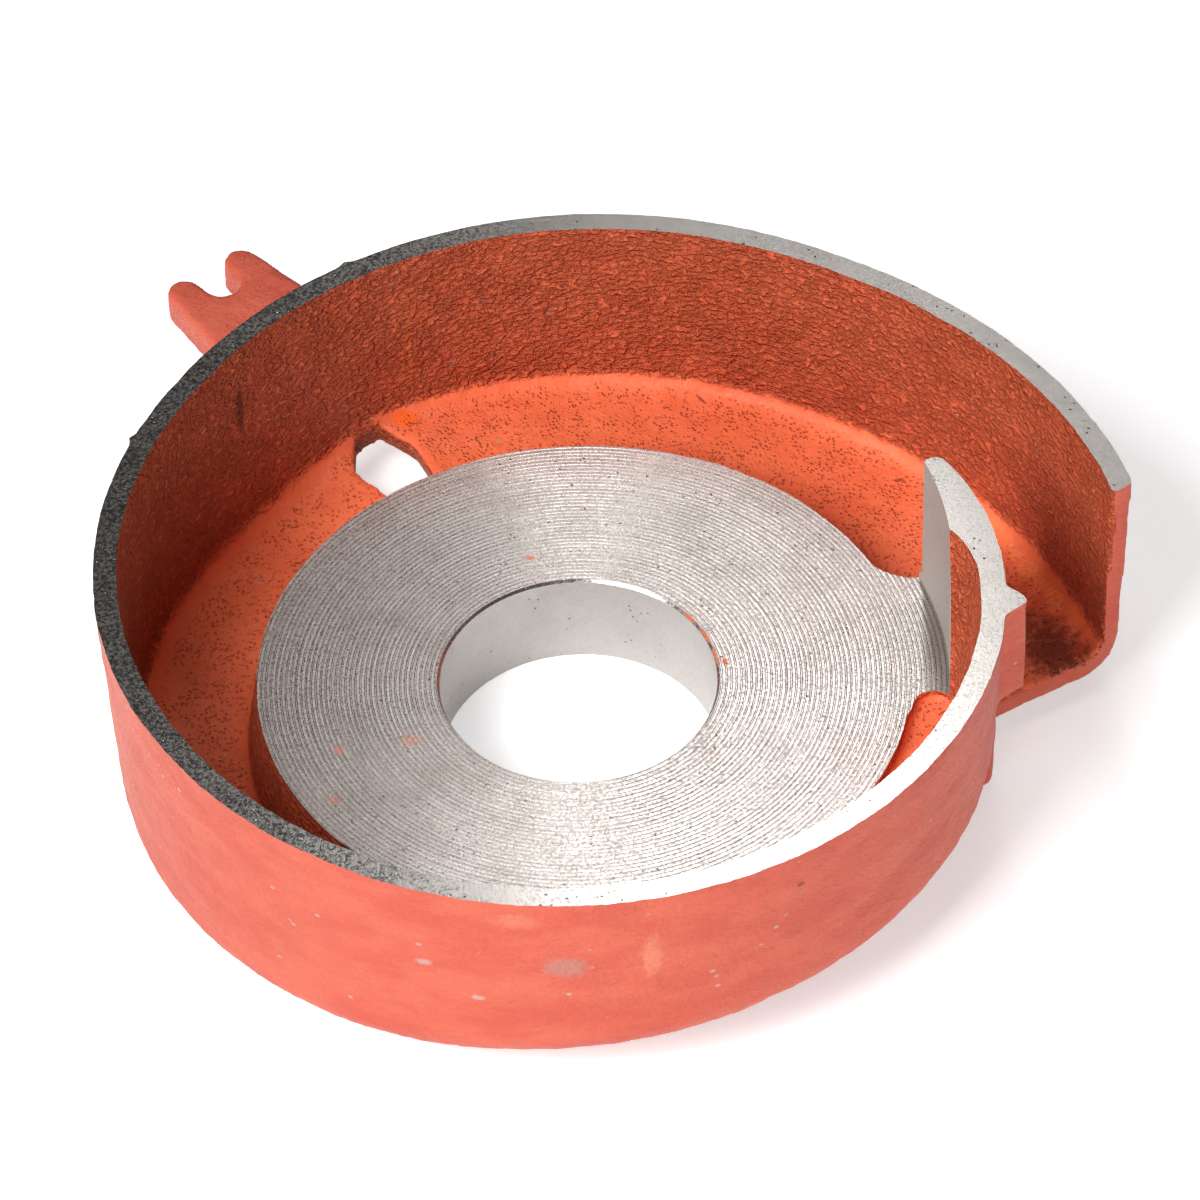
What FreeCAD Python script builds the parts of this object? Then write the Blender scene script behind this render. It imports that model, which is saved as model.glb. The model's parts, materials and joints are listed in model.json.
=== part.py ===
"""Volute pump casing: one iron casting with a spiral channel, a turned face round the suction bore,
a cutwater tongue, a fork lug and a return port through the channel floor.

Millimetres, +Z up. The origin is on the bore axis, in the plane of the suction boss's lower end.
"""
import FreeCAD, Part

import math
import os

import Sketcher

SIZES = {
    # bore, boss and the land that carries the turned face
    "bore_radius": 32.0,
    "boss_wall": 9.0,
    "land_width": 43.4,
    "land_shift_x": 1.3,
    "land_shift_y": 1.9,
    "land_draft": 9.0,
    "land_wall": 5.5,
    "plate_thickness": 8.0,
    "plate_inset": 3.0,
    "turned_margin": 10.0,
    # cast walls
    "rim_rise": 39.3,
    "wall_thickness": 5.4,
    "floor_thickness": 5.5,
    "outer_draft": 2.5,
    "bottom_radius": 10.0,
    "foot_radius": 2.0,
    "foot_growth": 0.3,
    # stock that the machining takes off
    "rim_stock": 2.0,
    "face_stock": 1.5,
    "plate_stock": 2.5,
    # discharge end, cut off square to the flow
    "mouth_reach": 49.2,
    "mouth_place": 7.66,
    "mouth_angle": 30.0,
    # cutwater tongue and its root
    "tongue_foot": 8.0,
    "nose_radius": 2.6,
    "tongue_curve": 68.0,
    "pocket_radius": 33.0,
    "pocket_foot_radius": 66.0,
    "root_base": 6.5,
    "root_top": 22.0,
    "root_inset": 4.0,
    "root_margin": 5.0,
    # lip between the land and the tongue
    "lip_base": 10.0,
    "lip_fillet": 24.0,
    "lip_corner": 5.0,
    # fork lug
    "lug_angle": 128.2,
    "lug_drop": 8.0,
    "lug_thickness": 9.0,
    "lug_length": 28.4,
    "lug_width": 25.0,
    "lug_root_width": 30.6,
    "lug_slot": 8.4,
    "lug_slot_depth": 12.0,
    # rib by the mouth and the two parting ridges on the outer wall
    "rib_length": 28.0,
    "rib_hollow": 7.0,
    "ridge_height": 1.4,
    "ridge_half_width": 1.7,
    "ridge_length": 41.6,
    "ridge_first": 117.4,
    "ridge_second": 156.8,
    # return port
    "port_angle": 119.0,
    "port_curve": 31.6,
}

# The spiral, as angle about the bore and value. The sections drawn between these angles take their
# sizes from the neighbours. The flow turns towards smaller angles.
# How far the outer wall's rim stands out from the land's radius:
WALL_REACH = (
    (8.0, 18.1),
    (-8.0, 22.2),
    (-24.0, 25.1),
    (-45.0, 27.4),
    (-70.0, 29.6),
    (-95.0, 31.0),
    (-120.0, 31.3),
    (-145.0, 32.0),
    (-170.0, 33.3),
    (-195.0, 34.3),
    (-215.0, 35.0),
    (-235.0, 37.1),
    (-252.0, 38.9),
    (-270.0, 40.5),
    (-290.0, 41.6),
    (-305.0, 42.6),
    (-320.0, 45.8),
    (-342.0, 51.5),
    (-366.0, 57.6),
)
# How far the channel's floor lies below the turned face, with the deepest place seventh:
FLOOR_DEPTHS = (
    (8.0, 1.7),
    (-30.0, 3.9),
    (-60.0, 5.7),
    (-90.0, 9.7),
    (-120.0, 15.2),
    (-150.0, 18.7),
    (-180.0, 19.2),
    (-212.0, 19.0),
    (-228.0, 18.5),
    (-243.0, 9.1),
    (-270.0, 9.1),
    (-307.0, 10.1),
    (-340.0, 13.2),
    (-366.0, 13.2),
)
# How far the inner side of the wall leans, in degrees:
WALL_LEAN = (
    (8.0, 8.5),
    (-8.0, 8.5),
    (-60.0, 1.5),
    (-366.0, 1.5),
)
# Outlines as distance from a named radius and angle about the bore. The first point of each tongue
# outline is where the nose meets the inner side, the last one where it meets the outer side.
TONGUE_TOP = ((-0.3, 18.65), (-1.3, 6.15), (7.4, -7.4), (12.3, -7.05), (4.4, 18.85))
TONGUE_FOOT = ((-1.2, 18.7), (-1.4, -6.9), (3.3, -15.3), (11.1, -13.2), (3.2, 18.55))
LIP_OUTLINE = (
    (0.15, 31.5),
    (7.2, 21.2),
    (10.9, 20.3),
    (14.8, 12.8),
    (11.9, -4.4),
    (5.9, -4.7),
    (2.0, -9.2),
    (-2.8, -8.6),
    (-2.8, 31.0),
)
RIB_OUTLINE = ((20.0, -7.95), (22.5, -7.75), (27.65, -9.95), (24.2, -12.05), (21.7, -13.4))
# The return port's outline, as distance from the land's radius and place across the port:
PORT_OUTLINE = ((7.6, -8.6), (18.9, -9.6), (30.1, -5.3), (30.1, 1.0), (23.9, 5.0), (7.6, 2.0))
# The stretch of the tongue's root, in degrees:
ROOT_ANGLES = (-7.0, 20.0)
START_ANGLE = 8.0
SECTION_STEP = 10.5
MAIN_STEPS = 30
DISCHARGE_STEPS = 5


class Term:
    """A formula for the document, with its value for the first drawing of a sketch."""

    def __init__(self, text, value):
        self.text = text
        self.value = value

    def join(self, other, sign, value):
        """Combine this formula with another one or with a number."""
        return Term(f"({self.text} {sign} {as_term(other).text})", value)

    def __add__(self, other):
        return self.join(other, "+", self.value + as_term(other).value)

    def __sub__(self, other):
        return self.join(other, "-", self.value - as_term(other).value)

    def __mul__(self, other):
        return self.join(other, "*", self.value * as_term(other).value)

    def __truediv__(self, other):
        return self.join(other, "/", self.value / as_term(other).value)


def as_term(value):
    """Turn a plain number into a formula; leave a formula as it is."""
    return value if isinstance(value, Term) else Term(f"{value:g}", value)


def size(name):
    """Give the formula for one size of the sheet."""
    return Term(f"Sizes.{name}", sheet.get(name))


def trig(function, angle):
    """Give the sine, cosine or tangent of an angle in degrees."""
    angle = as_term(angle)
    return Term(f"{function}({angle.text} * 1 deg)", getattr(math, function)(math.radians(angle.value)))


def polar(radius, angle):
    """Give the two coordinates of a point at a radius and an angle."""
    radius = as_term(radius)
    return radius * trig("cos", angle), radius * trig("sin", angle)


def land_radius():
    """Give the radius of the land, from the bore's."""
    return size("bore_radius") + size("land_width")


def turned_radius():
    """Give the radius that the tongue's inner side is turned to."""
    return land_radius() + size("turned_margin")


def face_height():
    """Give the turned face's height: the floor's deepest place then rests on the plane z = 0."""
    return size("depth_07") + size("floor_thickness")


def rim_height():
    """Give the height of the machined rim."""
    return face_height() + size("rim_rise")


def outline_points(rows, radius):
    """Turn rows of (distance from a radius, angle) into coordinates."""
    return [polar(radius + distance, angle) for distance, angle in rows]


def make_sheet(doc):
    """Write every driving dimension to a cell with a name."""
    new_sheet = doc.addObject("Spreadsheet::Sheet", "Sizes")
    values = dict(SIZES)
    for prefix, rows in (("wall", WALL_REACH), ("depth", FLOOR_DEPTHS)):
        for number, row in enumerate(rows, start=1):
            values[f"{prefix}_{number:02d}"] = row[1]
    for line, (name, value) in enumerate(values.items(), start=1):
        new_sheet.set(f"A{line}", name)
        new_sheet.set(f"B{line}", f"{value:g}")
        new_sheet.setAlias(f"B{line}", name)
    doc.recompute()
    return new_sheet


def origin_plane(body, role):
    """Find one of the body's three origin planes."""
    for plane in body.Origin.OriginFeatures:
        if plane.Role == role:
            return plane
    raise ValueError(role)


def new_body(name):
    """Start a body for one stretch of the casting."""
    return doc.addObject("PartDesign::Body", name)


def new_sketch(body, name, role, height=None, turn=0.0):
    """Start a sketch on an origin plane, lifted by a formula or turned about the bore axis."""
    sketch = body.newObject("Sketcher::SketchObject", name)
    sketch.AttachmentSupport = [(origin_plane(body, role), "")]
    sketch.MapMode = "FlatFace"
    spin_axis = FreeCAD.Vector(0, 1, 0) if role == "XZ_Plane" else FreeCAD.Vector(0, 0, 1)
    lift = height.value if height else 0.0
    spin = turn.value if isinstance(turn, Term) else turn
    sketch.AttachmentOffset = FreeCAD.Placement(
        FreeCAD.Vector(0, 0, lift), FreeCAD.Rotation(spin_axis, spin)
    )
    if height:
        sketch.setExpression("AttachmentOffset.Base.z", height.text)
    if isinstance(turn, Term):
        sketch.setExpression("AttachmentOffset.Rotation.Angle", f"{turn.text} * 1 deg")
    return sketch


def bind(sketch, kind, where, formula, unit=""):
    """Add a dimension to a sketch and tie it to a formula."""
    value = math.radians(formula.value) if unit else formula.value
    index = sketch.addConstraint(Sketcher.Constraint(kind, *where, value))
    sketch.setExpression(f"Constraints[{index}]", f"{formula.text} {unit}".strip())


def place_point(sketch, geometry, end, x, y):
    """Fix one end of an edge to two coordinates."""
    bind(sketch, "DistanceX", (-1, 1, geometry, end), as_term(x))
    bind(sketch, "DistanceY", (-1, 1, geometry, end), as_term(y))


def bulge_arc(start, end, radius):
    """Make the shorter arc from start to end; a negative radius bulges to the right of the way."""
    chord = end - start
    middle = (start + end) * 0.5
    side = FreeCAD.Vector(-chord.y, chord.x, 0).normalize()
    if radius < 0:
        side = side * -1
    rise = math.sqrt(max(radius**2 - (chord.Length / 2) ** 2, 0.0))
    top = middle + side * (abs(radius) - rise)
    return Part.Arc(start, top, end)


def draw_outline(sketch, corners):
    """Draw a closed outline of (x, y, radius); a radius makes the edge that follows an arc."""
    corners = [(as_term(x), as_term(y), radius) for x, y, radius in corners]
    points = [FreeCAD.Vector(x.value, y.value, 0) for x, y, radius in corners]
    for index, (x, y, radius) in enumerate(corners):
        start = points[index]
        end = points[(index + 1) % len(points)]
        if radius is None:
            sketch.addGeometry(Part.LineSegment(start, end), False)
        else:
            sketch.addGeometry(bulge_arc(start, end, as_term(radius).value), False)
    starts = [edge_end(sketch, index, points[index]) for index in range(len(points))]
    ends = [3 - start for start in starts]
    for index, (x, y, radius) in enumerate(corners):
        place_point(sketch, index, starts[index], x, y)
        following = (index + 1) % len(corners)
        sketch.addConstraint(
            Sketcher.Constraint("Coincident", index, ends[index], following, starts[following])
        )
        if radius is not None:
            bind(sketch, "Radius", (index,), positive(radius))
    return sketch


def positive(radius):
    """Drop the sign that tells which way an arc bulges."""
    radius = as_term(radius)
    return Term(f"abs({radius.text})", abs(radius.value))


def edge_end(sketch, geometry, point):
    """Tell which end of an edge, 1 or 2, lies at a point."""
    first = sketch.getPoint(geometry, 1)
    return 1 if first.distanceToPoint(point) < 1e-4 else 2


def land_edge(angle):
    """Give the land's radius from the bore axis; its own centre lies a little off that axis."""
    return (
        land_radius()
        + size("land_shift_x") * trig("cos", angle)
        + size("land_shift_y") * trig("sin", angle)
    )


def bracket(rows, angle):
    """Find the row before an angle and how far the angle is on its way to the next row."""
    for index in range(len(rows) - 1):
        start, end = rows[index][0], rows[index + 1][0]
        if end <= angle <= start:
            return index, (start - angle) / (start - end)
    raise ValueError(angle)


def between(rows, angle):
    """Give the plain value at an angle, on a straight line between two rows."""
    index, part = bracket(rows, angle)
    return rows[index][1] * (1.0 - part) + rows[index + 1][1] * part


def floor_height(angle):
    """Give the channel floor's height at an angle, on a straight line between two rows."""
    index, part = bracket(FLOOR_DEPTHS, angle)
    depth = size(f"depth_{index + 1:02d}") * (1.0 - part) + size(f"depth_{index + 2:02d}") * part
    return face_height() - depth


def wall_radius(angle):
    """Give the outer wall's radius at the rim, on a smooth curve through the rows."""
    index, part = bracket(WALL_REACH, angle)
    span = WALL_REACH[index][0] - WALL_REACH[index + 1][0]
    first = size(f"wall_{index + 1:02d}")
    second = size(f"wall_{index + 2:02d}")
    first_slope = wall_slope(index) * span
    second_slope = wall_slope(index + 1) * span
    return land_radius() + (
        first * (2.0 * part**3 - 3.0 * part**2 + 1.0)
        + first_slope * (part**3 - 2.0 * part**2 + part)
        + second * (3.0 * part**2 - 2.0 * part**3)
        + second_slope * (part**3 - part**2)
    )


def wall_slope(index):
    """Give how fast the wall's radius grows at one row, from the rows on both sides."""
    before = max(index - 1, 0)
    after = min(index + 1, len(WALL_REACH) - 1)
    span = WALL_REACH[before][0] - WALL_REACH[after][0]
    return (size(f"wall_{after + 1:02d}") - size(f"wall_{before + 1:02d}")) / span


def draw_section(body, number):
    """Draw the channel's section at one station: outer wall, floor and the side of the land."""
    angle = START_ANGLE - SECTION_STEP * number
    lean = between(WALL_LEAN, angle)
    sketch = new_sketch(body, f"Section{number:02d}", "XZ_Plane", turn=angle)
    outer = wall_radius(angle)
    inner = outer - size("wall_thickness")
    floor = floor_height(angle)
    underside = floor - size("floor_thickness")
    top = rim_height() + size("rim_stock")
    foot = size("foot_radius") + size("foot_growth") * (face_height() - floor)
    land_top = face_height() + size("face_stock")
    land = land_edge(angle) - size("face_stock") * trig("tan", size("land_draft"))
    back = land_edge(angle) - size("land_wall")
    draft = size("outer_draft")

    # first positions, close to the solved ones
    bottom = size("bottom_radius").value
    lean_in = math.tan(math.radians(lean)) * (top.value - floor.value)
    wall_in = math.tan(math.radians(draft.value)) * (top.value - underside.value)
    slope_out = math.tan(math.radians(size("land_draft").value)) * (land_top.value - floor.value)
    corners = [
        (inner.value, top.value),
        (outer.value, top.value),
        (outer.value - wall_in, underside.value + bottom),
        (outer.value - wall_in - bottom, underside.value),
        (back.value, underside.value),
        (back.value, land_top.value),
        (land.value, land_top.value),
        (land.value + slope_out, floor.value),
        (inner.value - lean_in - foot.value, floor.value),
        (inner.value - lean_in, floor.value + foot.value),
    ]
    points = [FreeCAD.Vector(x, y, 0) for x, y in corners]
    rim, wall, bend, base, end, ledge, side, bed, heel, lining = range(len(corners))
    arcs = {bend: (-90.0, -draft.value), heel: (270.0, 360.0)}
    centres = {
        bend: (corners[3][0], corners[2][1], bottom),
        heel: (corners[8][0], corners[9][1], foot.value),
    }
    for index, start in enumerate(points):
        if index in arcs:
            x, y, radius = centres[index]
            circle = Part.Circle(FreeCAD.Vector(x, y, 0), FreeCAD.Vector(0, 0, 1), radius)
            first, last = (math.radians(degrees) for degrees in arcs[index])
            sketch.addGeometry(Part.ArcOfCircle(circle, first, last), False)
        else:
            sketch.addGeometry(Part.LineSegment(start, points[(index + 1) % len(points)]), False)

    joints = ((rim, wall), (base, end), (end, ledge), (ledge, side), (side, bed), (lining, rim))
    for first, second in joints:
        sketch.addConstraint(Sketcher.Constraint("Coincident", first, 2, second, 1))
    for blend in ((wall, 2, bend, 2), (bend, 1, base, 1), (bed, 2, heel, 1), (heel, 2, lining, 1)):
        sketch.addConstraint(Sketcher.Constraint("Tangent", *blend))
    for level in (rim, base, ledge, bed):
        sketch.addConstraint(Sketcher.Constraint("Horizontal", level))
    sketch.addConstraint(Sketcher.Constraint("Vertical", end))

    rim_widening = size("rim_stock") * trig("tan", draft)
    inner_widening = size("rim_stock") * trig("tan", lean)
    place_point(sketch, rim, 2, outer + rim_widening, top)
    bind(sketch, "DistanceX", (-1, 1, rim, 1), inner + inner_widening)
    bind(sketch, "Angle", (wall,), (draft + 90.0) * -1.0, "* 1 deg")
    bind(sketch, "Radius", (bend,), size("bottom_radius"))
    place_point(sketch, end, 1, back, underside)
    place_point(sketch, ledge, 2, land, land_top)
    bind(sketch, "Angle", (side,), size("land_draft") - 90.0, "* 1 deg")
    bind(sketch, "DistanceY", (-1, 1, bed, 1), floor)
    bind(sketch, "Radius", (heel,), foot)
    bind(sketch, "Angle", (lining,), as_term(90.0 - lean), "* 1 deg")
    return sketch


def loft(body, name, sketches, ruled=False):
    """Join a row of sketches into one solid stretch."""
    feature = body.newObject("PartDesign::AdditiveLoft", name)
    feature.Profile = (sketches[0], [""])
    feature.Sections = [(sketch, [""]) for sketch in sketches[1:]]
    feature.Ruled = ruled
    return feature


def pad(body, name, sketch, length):
    """Add material upwards from a sketch."""
    feature = body.newObject("PartDesign::Pad", name)
    feature.Profile = (sketch, [""])
    feature.setExpression("Length", length.text)
    return feature


def pad_outline(name, corners, base, length, turn=0.0):
    """Make a body of one pad with a drawn outline."""
    body = new_body(name)
    sketch = draw_outline(new_sketch(body, f"{name}Outline", "XY_Plane", base, turn), corners)
    pad(body, f"{name}Pad", sketch, length)
    return body


def cylinder(name, radius, low, high):
    """Make a cylinder about the bore axis between two heights."""
    tool = doc.addObject("Part::Cylinder", name)
    tool.setExpression("Radius", radius.text)
    tool.setExpression("Height", (high - low).text)
    tool.setExpression("Placement.Base.z", low.text)
    return tool


def combine(kind, name, base, tool):
    """Fuse or cut one shape with another, and make sure that its volume moves the right way."""
    result = doc.addObject(kind, name)
    result.Base = base
    result.Tool = tool
    result.Refine = False
    doc.recompute()
    gain = result.Shape.Volume - base.Shape.Volume
    if gain * (1.0 if kind == "Part::Fuse" else -1.0) <= 0.0:
        raise ValueError(f"{name} changes the volume by {gain:.0f} mm3")
    return result


def make_main_turn():
    """Loft the main turn of the channel, from under the tongue round to the discharge."""
    body = new_body("MainTurn")
    loft(body, "MainTurnLoft", [draw_section(body, number) for number in range(MAIN_STEPS + 1)])
    return body


def make_discharge():
    """Loft the discharge on from the main turn's last section and cut its mouth off square."""
    body = new_body("Discharge")
    stations = range(MAIN_STEPS, MAIN_STEPS + DISCHARGE_STEPS + 1)
    loft(body, "DischargeLoft", [draw_section(body, number) for number in stations])

    angle = size("mouth_angle")
    corner = polar(land_radius() + size("mouth_reach"), size("mouth_place"))
    beyond = land_radius()
    along = (trig("cos", angle) * beyond, trig("sin", angle) * beyond)
    down = (trig("sin", angle) * beyond, trig("cos", angle) * beyond * -1.0)
    near = (corner[0] - along[0], corner[1] - along[1])
    far = (corner[0] + along[0], corner[1] + along[1])
    outline = [
        (near[0], near[1], None),
        (far[0], far[1], None),
        (far[0] + down[0], far[1] + down[1], None),
        (near[0] + down[0], near[1] + down[1], None),
    ]
    below = size("floor_thickness") * -2.0
    saw = pad_outline("MouthSaw", outline, below, rim_height() * 1.5)
    return combine("Part::Cut", "DischargeEnd", body, saw)


def make_tongue():
    """Loft the cutwater tongue between its foot and the rim."""
    body = new_body("Tongue")
    sketches = []
    for name, rows, height, pocket in (
        ("TongueFoot", TONGUE_FOOT, size("tongue_foot"), size("pocket_foot_radius")),
        ("TongueTop", TONGUE_TOP, rim_height() + size("rim_stock"), size("pocket_radius")),
    ):
        bends = (None, pocket, None, size("tongue_curve") * -1.0, size("nose_radius") * -1.0)
        points = outline_points(rows, turned_radius())
        corners = [(*point, bend) for point, bend in zip(points, bends)]
        sketches.append(draw_outline(new_sketch(body, name, "XY_Plane", height), corners))
    loft(body, "TongueLoft", sketches, ruled=True)
    return body


def make_tongue_root():
    """Fill the space between the first floor and the discharge's floor, under the tongue."""
    inner = land_radius() - size("root_inset")
    outer = turned_radius() + size("root_margin")
    first, last = ROOT_ANGLES
    outline = [
        (*polar(inner, first), inner * -1.0),
        (*polar(inner, last), None),
        (*polar(outer, last), outer),
        (*polar(outer, first), None),
    ]
    return pad_outline("TongueRoot", outline, size("root_base"), size("root_top") - size("root_base"))


def make_lip():
    """Make the lip that carries the turned face out to the foot of the tongue."""
    bends = [None] * len(LIP_OUTLINE)
    bends[0] = size("lip_fillet") * -1.0
    bends[5] = size("lip_corner") * -1.0
    bends[7] = land_radius() * -1.0
    corners = [(*point, bend) for point, bend in zip(outline_points(LIP_OUTLINE, land_radius()), bends)]
    length = face_height() + size("plate_stock") - size("lip_base")
    return pad_outline("Lip", corners, size("lip_base"), length)


def make_lug():
    """Make the fork lug on the outer wall: two rounded prongs with a slot between them."""
    wall = wall_radius(SIZES["lug_angle"] - 360.0)
    half_tip = size("lug_width") / 2.0
    half_root = size("lug_root_width") / 2.0
    half_slot = size("lug_slot") / 2.0
    prong = (half_tip - half_slot) / 2.0
    reach = wall + size("lug_length")
    shoulder = reach - prong
    slot_end = reach - size("lug_slot_depth") + half_slot
    root = wall - size("wall_thickness") * 0.5
    # a little over half the width, because an arc's radius can't be less than half its chord
    tip_radius = prong * -1.0001
    slot_radius = half_slot * 1.0001
    outline = [
        (root, half_root * -1.0, None),
        (shoulder, half_tip * -1.0, tip_radius),
        (shoulder, half_slot * -1.0, None),
        (slot_end, half_slot * -1.0, slot_radius),
        (slot_end, half_slot, None),
        (shoulder, half_slot, tip_radius),
        (shoulder, half_tip, None),
        (root, half_root, None),
    ]
    base = rim_height() - size("lug_drop") - size("lug_thickness")
    return pad_outline("ForkLug", outline, base, size("lug_thickness"), size("lug_angle"))


def make_rib():
    """Make the short rib on the tongue's outer side, flush with the rim."""
    bends = (None, size("rib_hollow"), None, None, None)
    corners = [(*point, bend) for point, bend in zip(outline_points(RIB_OUTLINE, land_radius()), bends)]
    base = rim_height() - size("rib_length")
    return pad_outline("MouthRib", corners, base, size("rib_length") + size("rim_stock"))


def make_ridge(name, angle):
    """Make one vertical ridge where two halves of the mould met, up to the rim."""
    half = size("ridge_half_width")
    wall = wall_radius(angle.value - 360.0)
    depth = size("wall_thickness") * 0.6
    shoulder = wall - size("ridge_height") * 0.3
    outline = [
        (wall - depth, half * -2.0, None),
        (shoulder, half * -1.0, None),
        (wall + size("ridge_height"), 0.0, None),
        (shoulder, half, None),
        (wall - depth, half * 2.0, None),
    ]
    base = rim_height() - size("ridge_length")
    return pad_outline(name, outline, base, size("ridge_length") + size("rim_stock"), angle)


def make_port():
    """Make the tool that cuts the return port through the channel's floor."""
    outline = [(land_radius() + distance, across, None) for distance, across in PORT_OUTLINE]
    outline[1] = (*outline[1][:2], size("port_curve") * -1.0)
    below = size("floor_thickness") * -1.0
    return pad_outline("ReturnPort", outline, below, face_height() * 2.0, size("port_angle"))


def cast():
    """Join every stretch of the casting, still with its machining stock."""
    face = face_height()
    plate_radius = land_radius() - size("plate_inset")
    boss_radius = size("bore_radius") + size("boss_wall")
    casting = make_main_turn()
    for shape in (
        make_discharge(),
        make_tongue(),
        make_tongue_root(),
        make_lip(),
        cylinder("FacePlate", plate_radius, face - size("plate_thickness"), face + size("plate_stock")),
        cylinder("SuctionBoss", boss_radius, face * 0.0, face),
        make_lug(),
        make_rib(),
        make_ridge("FirstRidge", size("ridge_first")),
        make_ridge("SecondRidge", size("ridge_second")),
    ):
        casting = combine("Part::Fuse", f"With{shape.Name}", casting, shape)
    return casting


def machine(casting):
    """Cut the rim, the turned face, the bore and the port out of the casting."""
    above = rim_height() * 1.5
    below = rim_height() * -0.5
    for tool in (
        cylinder("RimTool", land_radius() * 2.5, rim_height(), above),
        cylinder("FaceTool", turned_radius(), face_height(), above),
        cylinder("BoreTool", size("bore_radius"), below, above),
        make_port(),
    ):
        casting = combine("Part::Cut", f"After{tool.Name}", casting, tool)
    return casting


def check(part):
    """Stop if any object failed, or if the casing isn't one valid solid."""
    for item in doc.Objects:
        if "Invalid" in item.State or "Error" in item.State:
            raise ValueError(f"{item.Label} failed: {item.State}")
    shape = part.Shape
    if shape.isNull() or not shape.isValid() or len(shape.Solids) != 1:
        raise ValueError(f"the casing isn't one valid solid: {len(shape.Solids)}")
    print(f"volume {shape.Volume / 1000:.1f} cm3, box {shape.BoundBox}")


doc = FreeCAD.newDocument("VoluteCasing")
sheet = make_sheet(doc)
casing = machine(cast())
casing.Label = "volute_casing"
check(casing)
os.makedirs("parts", exist_ok=True)
casing.Shape.exportStep(f"parts/{casing.Label}.step")
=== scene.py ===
"""Looks of the volute pump casing: sand-cast iron in red primer with bare machined faces.

The rough casting starts as a copy of the CAD solid with machining stock on it. Its skin is made
uneven, and then the rim, the face, the tongue and the bore are cut, as on the real casting.
"""
import json
import logging
import math
from dataclasses import dataclass
from enum import Enum

import bpy
import numpy as np
from mathutils import Matrix, Vector

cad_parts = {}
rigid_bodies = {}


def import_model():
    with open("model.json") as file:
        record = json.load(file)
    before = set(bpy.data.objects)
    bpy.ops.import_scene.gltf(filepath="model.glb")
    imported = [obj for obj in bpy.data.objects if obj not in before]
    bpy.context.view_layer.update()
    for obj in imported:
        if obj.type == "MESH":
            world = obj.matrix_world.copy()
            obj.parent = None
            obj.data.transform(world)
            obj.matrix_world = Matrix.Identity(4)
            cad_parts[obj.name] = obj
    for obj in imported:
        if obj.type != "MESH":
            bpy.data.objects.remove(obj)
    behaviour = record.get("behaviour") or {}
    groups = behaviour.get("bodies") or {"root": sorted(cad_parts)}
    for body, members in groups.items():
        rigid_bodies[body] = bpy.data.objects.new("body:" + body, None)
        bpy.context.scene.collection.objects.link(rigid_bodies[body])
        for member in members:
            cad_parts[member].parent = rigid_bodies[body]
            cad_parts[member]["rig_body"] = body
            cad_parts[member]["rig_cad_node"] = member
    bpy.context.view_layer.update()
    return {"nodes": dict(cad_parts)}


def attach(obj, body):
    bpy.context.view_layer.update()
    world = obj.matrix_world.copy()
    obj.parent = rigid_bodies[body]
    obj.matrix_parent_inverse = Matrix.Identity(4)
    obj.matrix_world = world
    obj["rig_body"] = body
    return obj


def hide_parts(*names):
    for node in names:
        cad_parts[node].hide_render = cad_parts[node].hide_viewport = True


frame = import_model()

NODE = "volute_casing"
BODY = "root"
MILLIMETRE = 0.001
IMAGE_SIDE = 1200
log = logging.getLogger("casing")

Colour = tuple[float, float, float]
Place = tuple[float, float, float]
Span = tuple[float, float]
Socket = bpy.types.NodeSocket

RISING: Span = (0.0, 1.0)
FALLING: Span = (1.0, 0.0)

CHIPPED_PAINT = (0.48, 0.36, 0.32)
CASTING_PIT = (0.08, 0.07, 0.065)
PAINT_SPECK = (0.72, 0.17, 0.06)
BRIGHT_ORANGE = (0.93, 0.20, 0.04)
FRESH_ORANGE = (0.95, 0.13, 0.01)
THICK_SPRAY = (0.97, 0.21, 0.07)
PALE_RUN = (0.86, 0.40, 0.22)
RUBBED_PATCH = (0.42, 0.20, 0.16)
# dark colour of soot streaks, cracks, pits and chips, also used for a painted shadow on the outlet
# floor
SOOT_AND_SHADOW = (0.11, 0.03, 0.02)


def mm(value: float) -> float:
    """Give metres for millimetres."""
    return value * MILLIMETRE


RIM_HEIGHT = mm(64.0)
FACE_HEIGHT = mm(24.7)
TURNED_RADIUS = mm(85.4)
BORE_RADIUS = mm(32.0)
OUTWARD = 0.2
INWARD = -0.9
UPWARD = 0.98
DOWNWARD = -0.3


class Surface(Enum):
    """The surfaces of the casting, in the order of its material slots."""

    INSIDE = 0
    OUTSIDE = 1
    RIM = 2
    TONGUE = 3
    BORE = 4


Finishes = dict[Surface, bpy.types.Material]


def only(piece: bpy.types.Object) -> None:
    """Select one object alone and make it active."""
    bpy.ops.object.select_all(action="DESELECT")
    piece.select_set(True)
    bpy.context.view_layer.objects.active = piece


def apply_modifiers(piece: bpy.types.Object) -> None:
    """Apply all modifiers of a piece in their order."""
    only(piece)
    for modifier in list(piece.modifiers):
        bpy.ops.object.modifier_apply(modifier=modifier.name)


def copy_of(piece: bpy.types.Object, name: str) -> bpy.types.Object:
    """Duplicate a piece with its mesh.

    Args:
        piece: the object to copy.
        name: the copy's name.

    Returns:
        The copy, with no parent.
    """
    only(piece)
    bpy.ops.object.duplicate()
    copy = bpy.context.active_object
    copy.parent = None
    copy.name = name
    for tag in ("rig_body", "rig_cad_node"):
        if tag in copy:
            del copy[tag]
    return copy


def face_arrays(piece: bpy.types.Object) -> tuple[np.ndarray, np.ndarray]:
    """Read the middles and normals of all faces.

    Args:
        piece: the mesh object.

    Returns:
        Two arrays with one row for each face, in metres and as unit vectors.
    """
    faces = piece.data.polygons
    middles = np.empty(len(faces) * 3)
    normals = np.empty(len(faces) * 3)
    faces.foreach_get("center", middles)
    faces.foreach_get("normal", normals)
    return middles.reshape(-1, 3), normals.reshape(-1, 3)


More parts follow.
